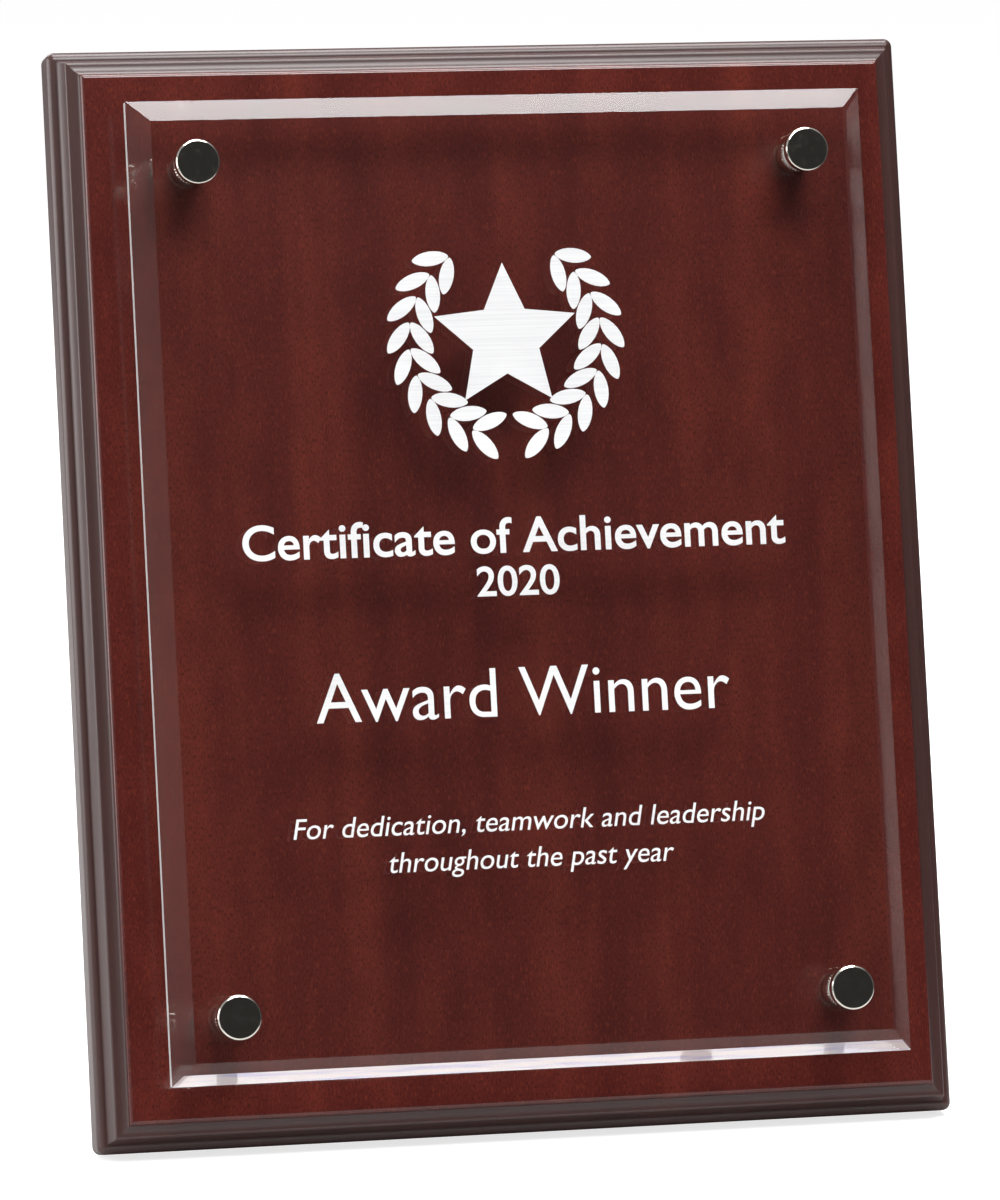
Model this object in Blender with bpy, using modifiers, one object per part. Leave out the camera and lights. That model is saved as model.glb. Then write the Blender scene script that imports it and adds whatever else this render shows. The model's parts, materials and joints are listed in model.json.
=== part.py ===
"""Wooden award plaque: a clear bevelled plate held in front of a moulded board by
four knurled stand-offs, with a folding easel strut and a keyhole hanger behind.

Everything is drawn on the upright board, then the whole plaque is leaned back.
On the upright board +X is right, +Z is up, the front faces -Y and the board's
back lies in the plane y = 0, with its lower edge at z = 0.
"""

import math

import bmesh
import bpy
from mathutils import Matrix, Vector

MM = 0.001

# Fits. SEAT is left between pieces that rest on each other, RUN between pieces that turn.
SEAT = 0.15 * MM
RUN = 0.06 * MM

# Stance: how far the plaque leans back, and how far the strut stands off the board.
LEAN = math.radians(13.0)
STRUT_OPENING = math.radians(30.0)

# Board and its moulded edge. Insets run inwards from the side, heights up from the back.
BOARD_WIDTH = 203.2 * MM
BOARD_HEIGHT = 254.0 * MM
BOARD_THICKNESS = 16.0 * MM
LIP_HEIGHT = 8.4 * MM
LIP_RADIUS = 2.0 * MM
LIP_FLAT = 0.3 * MM
STEP_SLOPE = 1.0 * MM
NOSE_RADIUS = 0.4 * MM
NOSE_DEPTH = 2.3 * MM
COVE_WIDTH = 2.5 * MM
PANEL_EDGE_RADIUS = 0.7 * MM

# Clear plate with its bevelled front edge.
PLATE_WIDTH = 174.0 * MM
PLATE_HEIGHT = 225.0 * MM
PLATE_THICKNESS = 6.0 * MM
PLATE_BEVEL_WIDTH = 5.0 * MM
PLATE_BEVEL_DEPTH = 3.8 * MM

# Stand-offs, one in each corner of the plate.
STANDOFF_INSET = 15.0 * MM
BARREL_RADIUS = 4.1 * MM
BARREL_LENGTH = 7.2 * MM
BARREL_FLOOR = 1.6 * MM
KNURL_RIDGES = 36
KNURL_DEPTH = 0.25 * MM
WASHER_RADIUS = 3.9 * MM
WASHER_THICKNESS = 0.5 * MM
CAP_RADIUS = 5.1 * MM
CAP_THICKNESS = 2.5 * MM
CAP_CHAMFER = 0.4 * MM
STUD_RADIUS = 2.4 * MM
STUD_ENGAGEMENT = 3.2 * MM
STUD_CLEARANCE = 0.3 * MM

# Wood screws that hold the barrels to the board.
BARREL_SCREW_RADIUS = 1.5 * MM
BARREL_SCREW_LENGTH = 12.0 * MM
BARREL_SCREW_HEAD_RADIUS = 2.2 * MM
BARREL_SCREW_HEAD_HEIGHT = 1.4 * MM

# Countersunk screws of the hinge and the hanger.
CSK_HEAD_RADIUS = 2.4 * MM
CSK_SHANK_RADIUS = 1.2 * MM
CSK_HEAD_HEIGHT = 0.9 * MM
CSK_TIP_LENGTH = 1.2 * MM
RECESS_WIDTH = 0.55 * MM
RECESS_LENGTH = 2.6 * MM
RECESS_DEPTH = 0.6 * MM

# Felt sheet on the back.
FELT_THICKNESS = 0.8 * MM
FELT_MARGIN = 6.0 * MM
FELT_CUT_MARGIN = 1.0 * MM

# Hinge of the strut.
HINGE_WIDTH = 38.0 * MM
HINGE_PIN_HEIGHT = 150.0 * MM
HINGE_LEAF_LENGTH = 17.0 * MM
HINGE_LEAF_THICKNESS = 1.0 * MM
KNUCKLE_RADIUS = 2.0 * MM
HINGE_PIN_RADIUS = 1.0 * MM
MIDDLE_KNUCKLE = 16.0 * MM
HINGE_SCREW_SPACING = 24.0 * MM
HINGE_SCREW_DROP = 10.5 * MM
BOARD_LEAF_SCREW_LENGTH = 9.0 * MM
STRUT_LEAF_SCREW_LENGTH = 5.5 * MM

# Easel strut.
STRUT_THICKNESS = 6.0 * MM
STRUT_TOP_WIDTH = 46.0 * MM
STRUT_FOOT_WIDTH = 74.0 * MM

# Keyhole hanger and the hollow behind it.
HANGER_WIDTH = 17.0 * MM
HANGER_HEIGHT = 46.0 * MM
HANGER_THICKNESS = 1.2 * MM
HANGER_DROP = 40.0 * MM
HANGER_SCREW_SPACING = 36.0 * MM
HANGER_SCREW_LENGTH = 8.0 * MM
KEYHOLE_ROUND_RADIUS = 4.4 * MM
KEYHOLE_SLOT_WIDTH = 4.4 * MM
KEYHOLE_TRAVEL = 8.5 * MM
HOLLOW_DEPTH = 8.0 * MM
HOLLOW_MARGIN = 1.2 * MM

ROUND_STEPS = 24
PIECE_OVERLAP = 0.5 * MM

# Places that follow from the sizes above.
NOSE_HEIGHT = BOARD_THICKNESS - NOSE_DEPTH
PLATE_MIDDLE_Z = BOARD_HEIGHT / 2
STANDOFF_X = PLATE_WIDTH / 2 - STANDOFF_INSET
STANDOFF_Z = PLATE_HEIGHT / 2 - STANDOFF_INSET
BARREL_BACK = BOARD_THICKNESS + SEAT
REAR_WASHER_BACK = BARREL_BACK + BARREL_LENGTH + SEAT
PLATE_BACK = REAR_WASHER_BACK + WASHER_THICKNESS + SEAT
FRONT_WASHER_BACK = PLATE_BACK + PLATE_THICKNESS + SEAT
CAP_BACK = FRONT_WASHER_BACK + WASHER_THICKNESS + SEAT
FELT_BACK = SEAT + FELT_THICKNESS
PIN_BEHIND_BOARD = SEAT + KNUCKLE_RADIUS
STRUT_BEHIND_PIN = KNUCKLE_RADIUS + SEAT
HANGER_MIDDLE_Z = BOARD_HEIGHT - HANGER_DROP
KEYHOLE_ROUND_Z = HANGER_MIDDLE_Z - KEYHOLE_TRAVEL / 2

CORNERS = {
    "top_left": (-STANDOFF_X, PLATE_MIDDLE_Z + STANDOFF_Z),
    "top_right": (STANDOFF_X, PLATE_MIDDLE_Z + STANDOFF_Z),
    "bottom_left": (-STANDOFF_X, PLATE_MIDDLE_Z - STANDOFF_Z),
    "bottom_right": (STANDOFF_X, PLATE_MIDDLE_Z - STANDOFF_Z),
}
SIDES = {"left": -1, "right": 1}

# A turned piece is drawn along +Z. These turn that axis to point forwards or backwards.
FORWARDS = Matrix.Rotation(math.radians(90), 4, "X")
BACKWARDS = Matrix.Rotation(math.radians(-90), 4, "X")


def clear_scene():
    for old in list(bpy.data.objects):
        bpy.data.objects.remove(old, do_unlink=True)


def new_collection(name):
    collection = bpy.data.collections.new(name)
    bpy.context.scene.collection.children.link(collection)
    return collection


def new_frame(name, parent=None, matrix=None):
    """An empty that carries pieces, so that they lean or swing together."""
    frame = bpy.data.objects.new(name, None)
    PARTS.objects.link(frame)
    frame.parent = parent
    if matrix is not None:
        frame.matrix_basis = matrix
    return frame


def new_material(name, colour, roughness, metallic=0.0, transmission=0.0):
    material = bpy.data.materials.new(name)
    material.use_nodes = True
    shader = material.node_tree.nodes["Principled BSDF"]
    shader.inputs["Base Color"].default_value = (*colour, 1.0)
    shader.inputs["Roughness"].default_value = roughness
    shader.inputs["Metallic"].default_value = metallic
    shader.inputs["Transmission Weight"].default_value = transmission
    return material


def new_object(name, mesh, parent, matrix, collection):
    piece = bpy.data.objects.new(name, mesh)
    collection.objects.link(piece)
    piece.parent = parent
    piece.matrix_basis = matrix
    return piece


def add_part(name, mesh, material, parent, matrix=Matrix.Identity(4)):
    if not mesh.materials:
        mesh.materials.append(material)
    return new_object(name, mesh, parent, matrix, PARTS)


def add_cutter(name, mesh, parent, matrix=Matrix.Identity(4)):
    cutter = new_object(name, mesh, parent, matrix, CUTTERS)
    cutter.hide_render = True
    cutter.display_type = "WIRE"
    return cutter


def boolean(piece, other, operation="DIFFERENCE"):
    modifier = piece.modifiers.new(f"{operation.lower()} {other.name}", "BOOLEAN")
    modifier.operation = operation
    modifier.object = other


def mesh_from(name, bm):
    mesh = bpy.data.meshes.new(name)
    bm.to_mesh(mesh)
    bm.free()
    return mesh


def box_mesh(name, low, high):
    """A box between two opposite corners."""
    low, high = Vector(low), Vector(high)
    bm = bmesh.new()
    bmesh.ops.create_cube(bm, size=1.0)
    bmesh.ops.scale(bm, vec=high - low, verts=bm.verts)
    bmesh.ops.translate(bm, vec=(low + high) / 2, verts=bm.verts)
    return mesh_from(name, bm)


def turn(piece, steps=ROUND_STEPS):
    """Turns the piece's profile about its Z axis."""
    screw = piece.modifiers.new("turn", "SCREW")
    screw.steps = steps
    screw.render_steps = steps
    screw.use_merge_vertices = True
    screw.merge_threshold = 0.00001
    return piece


def profile_mesh(name, points, closed=False):
    """A profile of (radius, height) points, in order from the top down the outer side."""
    bm = bmesh.new()
    verts = [bm.verts.new((radius, 0, height)) for radius, height in points]
    for first, second in zip(verts, verts[1:]):
        bm.edges.new((first, second))
    if closed:
        bm.edges.new((verts[-1], verts[0]))
    return mesh_from(name, bm)


def cylinder_mesh(name, radius, bottom, top, steps=ROUND_STEPS):
    bm = bmesh.new()
    bmesh.ops.create_cone(
        bm, cap_ends=True, segments=steps, radius1=radius, radius2=radius, depth=top - bottom
    )
    bmesh.ops.translate(bm, vec=(0, 0, (top + bottom) / 2), verts=bm.verts)
    return mesh_from(name, bm)


def arc(centre, radii, start, end, steps):
    """Points along an arc, its two ends included."""
    angles = [math.radians(start + (end - start) * k / steps) for k in range(steps + 1)]
    return [
        (centre[0] + radii[0] * math.cos(a), centre[1] + radii[1] * math.sin(a)) for a in angles
    ]


def moulding_profile():
    """The board's edge from the top of its side wall up to the panel: a rounded lip,
    a steep step with a small nose, a cove, and the eased edge of the panel."""
    wall_top = (0.0, LIP_HEIGHT - LIP_RADIUS)
    step_foot = (LIP_RADIUS + LIP_FLAT, LIP_HEIGHT)
    step_top = (step_foot[0] + STEP_SLOPE, NOSE_HEIGHT - NOSE_RADIUS)
    cove_start = step_top[0] + NOSE_RADIUS
    cove_top = BOARD_THICKNESS - PANEL_EDGE_RADIUS
    cove_end = cove_start + COVE_WIDTH
    profile = [wall_top]
    profile += arc((LIP_RADIUS, wall_top[1]), (LIP_RADIUS, LIP_RADIUS), 180, 90, 4)[1:]
    profile += [step_foot, step_top]
    profile += arc((cove_start, step_top[1]), (NOSE_RADIUS, NOSE_RADIUS), 180, 90, 2)[1:]
    cove_radii = (COVE_WIDTH, cove_top - NOSE_HEIGHT)
    profile += arc((cove_start, cove_top), cove_radii, 270, 360, 4)[1:]
    edge_centre = (cove_end + PANEL_EDGE_RADIUS, cove_top)
    profile += arc(edge_centre, (PANEL_EDGE_RADIUS, PANEL_EDGE_RADIUS), 180, 90, 3)[1:]
    return profile


def front_face(bm):
    """The face of the mesh that looks straight forwards."""
    return min(bm.faces, key=lambda face: face.calc_center_median().y)


def stepped_panel_mesh(name, width, height, profile):
    """A rectangular panel whose front edge follows a profile of (inset, height) points."""
    bm = bmesh.new()
    bmesh.ops.create_cube(bm, size=1.0)
    bmesh.ops.scale(bm, vec=(width, profile[0][1], height), verts=bm.verts)
    bmesh.ops.translate(bm, vec=(0, -profile[0][1] / 2, 0), verts=bm.verts)
    for (inset, rise), (next_inset, next_rise) in zip(profile, profile[1:]):
        face = front_face(bm)
        bmesh.ops.inset_region(
            bm,
            faces=[face],
            thickness=next_inset - inset,
            depth=next_rise - rise,
            use_even_offset=True,
        )
    return mesh_from(name, bm)


def screw_profile(head_radius, shank_radius, head_height, length):
    """A countersunk screw with its head's flat top at height 0, pointing down."""
    return [
        (0, 0),
        (head_radius, 0),
        (shank_radius, -head_height),
        (shank_radius, -length + CSK_TIP_LENGTH),
        (0, -length),
    ]


def countersunk_screw(name, length, parent, matrix):
    """A countersunk wood screw with a cross recess, its head flush at the matrix's origin."""
    profile = screw_profile(CSK_HEAD_RADIUS, CSK_SHANK_RADIUS, CSK_HEAD_HEIGHT, length)
    screw = add_part(name, profile_mesh(name, profile), STEEL, parent, matrix)
    turn(screw, 16)
    half_width = RECESS_WIDTH / 2
    half_length = RECESS_LENGTH / 2
    for arm, (x, y) in {"a": (half_width, half_length), "b": (half_length, half_width)}.items():
        slot = box_mesh(f"{name}_slot_{arm}", (-x, -y, -RECESS_DEPTH), (x, y, RECESS_DEPTH))
        boolean(screw, add_cutter(f"{name}_slot_{arm}", slot, parent, matrix))
    return screw


def cut_screw_seat(piece, name, length, parent, matrix):
    """Cuts the hole and countersink in which a countersunk screw of that length sits."""
    profile = screw_profile(
        CSK_HEAD_RADIUS + SEAT, CSK_SHANK_RADIUS + RUN, CSK_HEAD_HEIGHT, length + SEAT
    )
    profile = [(0, SEAT), (CSK_HEAD_RADIUS + SEAT, SEAT)] + profile[1:]
    cutter = add_cutter(name, profile_mesh(name, profile), parent, matrix)
    boolean(piece, turn(cutter, 16))


def upright_prism_mesh(name, outline, front, back):
    """A solid with an outline of (x, z) points, from one depth to another."""
    bm = bmesh.new()
    face = bm.faces.new([bm.verts.new((x, front, z)) for x, z in outline])
    made = bmesh.ops.extrude_face_region(bm, geom=[face])
    far = [item for item in made["geom"] if isinstance(item, bmesh.types.BMVert)]
    bmesh.ops.translate(bm, vec=(0, back - front, 0), verts=far)
    bmesh.ops.recalc_face_normals(bm, faces=bm.faces)
    return mesh_from(name, bm)


def keyhole_outline():
    """A round opening about the origin, with a round-ended slot above it."""
    half = KEYHOLE_SLOT_WIDTH / 2
    meet = math.degrees(math.acos(half / KEYHOLE_ROUND_RADIUS))
    round_radii = (KEYHOLE_ROUND_RADIUS, KEYHOLE_ROUND_RADIUS)
    outline = arc((0, 0), round_radii, meet, -180 - meet, 20)
    outline += arc((0, KEYHOLE_TRAVEL), (half, half), 180, 0, 8)
    return outline


def round_ended_outline(width, height):
    radii = (width / 2, width / 2)
    reach = (height - width) / 2
    return arc((0, reach), radii, 180, 0, 12) + arc((0, -reach), radii, 0, -180, 12)


def make_board(plaque):
    """The moulded board, drilled in front for the barrel screws and hollowed behind."""
    mesh = stepped_panel_mesh("board", BOARD_WIDTH, BOARD_HEIGHT, moulding_profile())
    middle = Matrix.Translation((0, 0, BOARD_HEIGHT / 2))
    board = add_part("board", mesh, MAHOGANY, plaque, middle)
    pilot = cylinder_mesh(
        "pilot",
        BARREL_SCREW_RADIUS + RUN,
        BARREL_FLOOR + SEAT - BARREL_SCREW_LENGTH - SEAT,
        BARREL_FLOOR,
        12,
    )
    for corner, (x, z) in CORNERS.items():
        place = Matrix.Translation((x, -BARREL_BACK, z)) @ FORWARDS
        boolean(board, add_cutter(f"pilot_{corner}", pilot, plaque, place))
    return board


def make_felt(plaque):
    """A felt sheet on the back, cut out round the hinge leaf and the hanger."""
    half_width = BOARD_WIDTH / 2 - FELT_MARGIN
    mesh = box_mesh(
        "backing_felt",
        (-half_width, SEAT, FELT_MARGIN),
        (half_width, FELT_BACK, BOARD_HEIGHT - FELT_MARGIN),
    )
    felt = add_part("backing_felt", mesh, FELT, plaque)
    leaf_half = HINGE_WIDTH / 2 + FELT_CUT_MARGIN
    leaf_low = HINGE_PIN_HEIGHT - HINGE_LEAF_LENGTH - FELT_CUT_MARGIN
    leaf_high = HINGE_PIN_HEIGHT + KNUCKLE_RADIUS + FELT_CUT_MARGIN
    window = box_mesh(
        "felt_hinge_window",
        (-leaf_half, -FELT_THICKNESS, leaf_low),
        (leaf_half, 2 * FELT_BACK, leaf_high),
    )
    boolean(felt, add_cutter("felt_hinge_window", window, plaque))
    hanger_half = HANGER_WIDTH / 2 + FELT_CUT_MARGIN
    hanger_reach = HANGER_HEIGHT / 2 + FELT_CUT_MARGIN
    window = box_mesh(
        "felt_hanger_window",
        (-hanger_half, -FELT_THICKNESS, HANGER_MIDDLE_Z - hanger_reach),
        (hanger_half, 2 * FELT_BACK, HANGER_MIDDLE_Z + hanger_reach),
    )
    boolean(felt, add_cutter("felt_hanger_window", window, plaque))


def make_hanger(plaque, board):
    """A keyhole plate let into the back, over a hollow for the wall screw's head."""
    place = Matrix.Translation((0, 0, HANGER_MIDDLE_Z))
    plate_front = -HANGER_THICKNESS
    outline = round_ended_outline(HANGER_WIDTH, HANGER_HEIGHT)
    mesh = upright_prism_mesh("keyhole_plate", outline, plate_front, 0)
    plate = add_part("keyhole_plate", mesh, ZINC, plaque, place)
    outline = round_ended_outline(HANGER_WIDTH + 2 * SEAT, HANGER_HEIGHT + 2 * SEAT)
    recess = upright_prism_mesh("hanger_recess", outline, plate_front - SEAT, HANGER_THICKNESS)
    boolean(board, add_cutter("hanger_recess", recess, plaque, place))
    key_place = Matrix.Translation((0, 0, KEYHOLE_ROUND_Z))
    key = upright_prism_mesh("keyhole", keyhole_outline(), 2 * plate_front, HANGER_THICKNESS)
    boolean(plate, add_cutter("keyhole", key, plaque, key_place))
    reach = KEYHOLE_ROUND_RADIUS + HOLLOW_MARGIN
    hollow = box_mesh(
        "hanger_hollow",
        (-reach, -HOLLOW_DEPTH, -reach),
        (reach, HANGER_THICKNESS, KEYHOLE_TRAVEL + reach),
    )
    boolean(board, add_cutter("hanger_hollow", hollow, plaque, key_place))
    for name, side in (("top", 1), ("bottom", -1)):
        z = HANGER_MIDDLE_Z + side * HANGER_SCREW_SPACING / 2
        seat = Matrix.Translation((0, 0, z)) @ BACKWARDS
        countersunk_screw(f"keyhole_screw_{name}", HANGER_SCREW_LENGTH, plaque, seat)
        for piece in (plate, board):
            cut_name = f"seat_{piece.name}_{name}"
            cut_screw_seat(piece, cut_name, HANGER_SCREW_LENGTH, plaque, seat)


def make_display_plate(plaque):
    """The clear plate, bevelled all round in front and drilled in each corner."""
    wall = PLATE_THICKNESS - PLATE_BEVEL_DEPTH
    profile = [(0.0, wall), (PLATE_BEVEL_WIDTH, PLATE_THICKNESS)]
    mesh = stepped_panel_mesh("display_plate", PLATE_WIDTH, PLATE_HEIGHT, profile)
    place = Matrix.Translation((0, -PLATE_BACK, PLATE_MIDDLE_Z))
    plate = add_part("display_plate", mesh, CLEAR, plaque, place)
    hole = cylinder_mesh(
        "plate_hole", STUD_RADIUS + STUD_CLEARANCE, -PIECE_OVERLAP, PLATE_THICKNESS + PIECE_OVERLAP
    )
    for corner, (x, z) in CORNERS.items():
        drill = Matrix.Translation((x, -PLATE_BACK, z)) @ FORWARDS
        boolean(plate, add_cutter(f"plate_hole_{corner}", hole, plaque, drill))


def barrel_mesh():
    """A knurled tube, drawn as a cylinder whose every second edge is sunk."""
    bm = bmesh.new()
    bmesh.ops.create_cone(
        bm,
        cap_ends=True,
        segments=2 * KNURL_RIDGES,
        radius1=BARREL_RADIUS,
        radius2=BARREL_RADIUS,
        depth=BARREL_LENGTH,
    )
    bmesh.ops.translate(bm, vec=(0, 0, BARREL_LENGTH / 2), verts=bm.verts)
    sunk = (BARREL_RADIUS - KNURL_DEPTH) / BARREL_RADIUS
    for vert in bm.verts:
        step = round(math.atan2(vert.co.y, vert.co.x) / (math.pi / KNURL_RIDGES))
        if step % 2:
            vert.co.x *= sunk
            vert.co.y *= sunk
    return mesh_from("barrel", bm)


def barrel_bore_mesh():
    """The barrel's inside: a screw hole through its floor, then the stud's thread bore."""
    thread = STUD_RADIUS + SEAT
    hole = BARREL_SCREW_RADIUS + RUN
    top = BARREL_LENGTH + PIECE_OVERLAP
    points = [
        (0, top),
        (thread, top),
        (thread, BARREL_FLOOR),
        (hole, BARREL_FLOOR),
        (hole, -PIECE_OVERLAP),
        (0, -PIECE_OVERLAP),
    ]
    return profile_mesh("barrel_bore", points)


def cap_mesh():
    """A cap with a chamfered face and the stud that screws into the barrel."""
    stud_end = CAP_BACK - (BARREL_BACK + BARREL_LENGTH) + STUD_ENGAGEMENT
    points = [
        (0, CAP_THICKNESS),
        (CAP_RADIUS - CAP_CHAMFER, CAP_THICKNESS),
        (CAP_RADIUS, CAP_THICKNESS - CAP_CHAMFER),
        (CAP_RADIUS, 0),
        (STUD_RADIUS, 0),
        (STUD_RADIUS, -stud_end),
        (0, -stud_end),
    ]
    return profile_mesh("cap", points)


def washer_mesh():
    bore = STUD_RADIUS + STUD_CLEARANCE
    points = [
        (bore, WASHER_THICKNESS),
        (WASHER_RADIUS, WASHER_THICKNESS),
        (WASHER_RADIUS, 0),
        (bore, 0),
    ]
    return profile_mesh("washer", points, closed=True)


def barrel_screw_mesh():
    """A pan-head wood screw, with the underside of its head at height 0."""
    tip = BARREL_SCREW_RADIUS
    points = [
        (0, BARREL_SCREW_HEAD_HEIGHT),
        (BARREL_SCREW_HEAD_RADIUS, BARREL_SCREW_HEAD_HEIGHT),
        (BARREL_SCREW_HEAD_RADIUS, 0),
        (BARREL_SCREW_RADIUS, 0),
        (BARREL_SCREW_RADIUS, tip - BARREL_SCREW_LENGTH),
        (0, -BARREL_SCREW_LENGTH),
    ]
    return profile_mesh("barrel_screw", points)


def make_standoffs(plaque):
    """In each corner: a barrel screwed to the board, two washers, and the cap."""
    barrel = barrel_mesh()
    bore = barrel_bore_mesh()
    cap = cap_mesh()
    washer = washer_mesh()
    screw = barrel_screw_mesh()
    for corner, (x, z) in CORNERS.items():

        def out(distance):
            return Matrix.Translation((x, -distance, z)) @ FORWARDS

        tube = add_part(f"standoff_barrel_{corner}", barrel, NICKEL, plaque, out(BARREL_BACK))
        cutter = add_cutter(f"barrel_bore_{corner}", bore, plaque, out(BARREL_BACK))
        boolean(tube, turn(cutter))
        head_seat = out(BARREL_BACK + BARREL_FLOOR + SEAT)
        turn(add_part(f"barrel_screw_{corner}", screw, STEEL, plaque, head_seat), 16)
        rear = out(REAR_WASHER_BACK)
        turn(add_part(f"rear_washer_{corner}", washer, NYLON, plaque, rear))
        front = out(FRONT_WASHER_BACK)
        turn(add_part(f"front_washer_{corner}", washer, NYLON, plaque, front))
        turn(add_part(f"standoff_cap_{corner}", cap, NICKEL, plaque, out(CAP_BACK)), 48)


def hinge_leaf(name, knuckles, frame, side):
    """A hinge leaf that hangs from its knuckles. side is -1 for the leaf against the
    board and 1 for the leaf on the strut. knuckles are (low, high) stretches along X."""
    outer = side * KNUCKLE_RADIUS
    inner = side * (KNUCKLE_RADIUS - HINGE_LEAF_THICKNESS)
    low, high = sorted((outer, inner))
    flat_top = -(KNUCKLE_RADIUS + SEAT + RUN)
    half = HINGE_WIDTH / 2
    mesh = box_mesh(name, (-half, low, -HINGE_LEAF_LENGTH), (half, high, flat_top))
    leaf = add_part(name, mesh, ZINC, frame)
    along_x = Matrix.Rotation(math.radians(90), 4, "Y")
    for number, (start, end) in enumerate(knuckles):
        tongue = box_mesh(f"{name}_tongue", (start, low, flat_top - PIECE_OVERLAP), (end, high, 0))
        boolean(leaf, add_cutter(f"{name}_tongue_{number}", tongue, frame), "UNION")
        roll = cylinder_mesh(f"{name}_knuckle", KNUCKLE_RADIUS, start, end)
        boolean(leaf, add_cutter(f"{name}_knuckle_{number}", roll, frame, along_x), "UNION")
    bore = cylinder_mesh(f"{name}_bore", HINGE_PIN_RADIUS + RUN, -half - RUN, half + RUN)
    boolean(leaf, add_cutter(f"{name}_bore", bore, frame, along_x))
    return leaf


def make_hinge(plaque, swing, board, strut):
    """A butt hinge: its outer knuckles stay on the board, its middle one turns with the strut."""
    pin_frame = new_frame(
        "hinge_pin_axis", plaque, Matrix.Translation((0, PIN_BEHIND_BOARD, HINGE_PIN_HEIGHT))
    )
    half = HINGE_WIDTH / 2
    middle = MIDDLE_KNUCKLE / 2
    outer_knuckles = [(-half, -middle - SEAT), (middle + SEAT, half)]
    board_leaf = hinge_leaf("hinge_leaf_board", outer_knuckles, pin_frame, -1)
    strut_leaf = hinge_leaf("hinge_leaf_strut", [(-middle, middle)], swing, 1)
    pin = cylinder_mesh("hinge_pin", HINGE_PIN_RADIUS, -half, half)
    along_x = Matrix.Rotation(math.radians(90), 4, "Y")
    add_part("hinge_pin", pin, ZINC, pin_frame, along_x)
    inner_face = KNUCKLE_RADIUS - HINGE_LEAF_THICKNESS
    for name, side in SIDES.items():
        x = side * HINGE_SCREW_SPACING / 2
        seat = Matrix.Translation((x, -inner_face, -HINGE_SCREW_DROP)) @ BACKWARDS
        length = BOARD_LEAF_SCREW_LENGTH
        countersunk_screw(f"hinge_screw_board_{name}", length, pin_frame, seat)
        for piece in (board_leaf, board):
            cut_screw_seat(piece, f"seat_{piece.name}_{name}", length, pin_frame, seat)
        seat = Matrix.Translation((x, inner_face, -HINGE_SCREW_DROP)) @ FORWARDS
        length = STRUT_LEAF_SCREW_LENGTH
        countersunk_screw(f"hinge_screw_strut_{name}", length, swing, seat)
        for piece in (strut_leaf, strut):
            cut_screw_seat(piece, f"seat_{piece.name}_{name}", length, swing, seat)


def strut_outline():
    """The strut's side view as (behind the pin, above the pin) points. Its top is cut to
    lie flat on the felt when it is open, and its foot to stand flat on the table."""
    inner = STRUT_BEHIND_PIN
    outer = inner + STRUT_THICKNESS
    felt_ahead = PIN_BEHIND_BOARD - FELT_BACK - SEAT
    opening = STRUT_OPENING
    heel = (felt_ahead + inner * math.cos(opening)) / math.sin(opening)
    heel_outer = heel + STRUT_THICKNESS / math.tan(opening)
    splay = opening - LEAN
    pin_above_table = HINGE_PIN_HEIGHT * math.cos(LEAN) - PIN_BEHIND_BOARD * math.sin(LEAN)
    foot = (pin_above_table + inner * math.sin(splay)) / math.cos(splay)
    foot_outer = foot + STRUT_THICKNESS * math.tan(splay)
    return [(inner, heel), (outer, heel_outer), (outer, -foot_outer), (inner, -foot)]


def make_strut(swing):
    """A tapered board that swings on the hinge: the outline's side view, widened to its foot."""
    outline = strut_outline()
    top = max(z for _, z in outline)
    bottom = min(z for _, z in outline)
    bm = bmesh.new()
    verts = [bm.verts.new((0, y, z)) for y, z in outline]
    side = bm.faces.new(verts)
    made = bmesh.ops.extrude_face_region(bm, geom=[side])
    far_verts = [item for item in made["geom"] if isinstance(item, bmesh.types.BMVert)]
    for sign, group in ((-1, verts), (1, far_verts)):
        for vert in group:
            share = (top - vert.co.z) / (top - bottom)
            width = STRUT_TOP_WIDTH + share * (STRUT_FOOT_WIDTH - STRUT_TOP_WIDTH)
            vert.co.x = sign * width / 2
    bmesh.ops.recalc_face_normals(bm, faces=bm.faces)
    return add_part("easel_strut", mesh_from("easel_strut", bm), BLACK, swing)


def centre_on_table(plaque):
    """Moves the plaque so that the origin is under the middle of its bounding box."""
    bpy.context.view_layer.update()
    graph = bpy.context.evaluated_depsgraph_get()
    depths = []
    for piece in PARTS.objects:
        if piece.type == "MESH":
            evaluated = piece.evaluated_get(graph)
            depths += [(evaluated.matrix_world @ vert.co).y for vert in evaluated.data.vertices]
    plaque.location.y -= (min(depths) + max(depths)) / 2


def build():
    plaque = new_frame("leaning_plaque", matrix=Matrix.Rotation(-LEAN, 4, "X"))
    board = make_board(plaque)
    make_felt(plaque)
    make_hanger(plaque, board)
    make_display_plate(plaque)
    make_standoffs(plaque)
    swing = new_frame(
        "strut_swing",
        plaque,
        Matrix.Translation((0, PIN_BEHIND_BOARD, HINGE_PIN_HEIGHT))
        @ Matrix.Rotation(STRUT_OPENING, 4, "X"),
    )
    strut = make_strut(swing)
    make_hinge(plaque, swing, board, strut)
    centre_on_table(plaque)


clear_scene()
PARTS = new_collection("Wooden plaque")
CUTTERS = new_collection("Cutters")
MAHOGANY = new_material("mahogany", (0.098, 0.017, 0.014), 0.35)
BLACK = new_material("black lacquer", (0.012, 0.010, 0.010), 0.45)
FELT = new_material("black felt", (0.010, 0.010, 0.011), 0.95)
CLEAR = new_material("clear plate", (1.0, 1.0, 1.0), 0.0, transmission=1.0)
NICKEL = new_material("polished nickel", (0.78, 0.74, 0.66), 0.08, metallic=1.0)
ZINC = new_material("zinc-plated steel", (0.62, 0.62, 0.60), 0.35, metallic=1.0)
STEEL = new_material("screw steel", (0.50, 0.50, 0.49), 0.40, metallic=1.0)
NYLON = new_material("clear nylon", (0.80, 0.80, 0.78), 0.40)
build()
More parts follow.
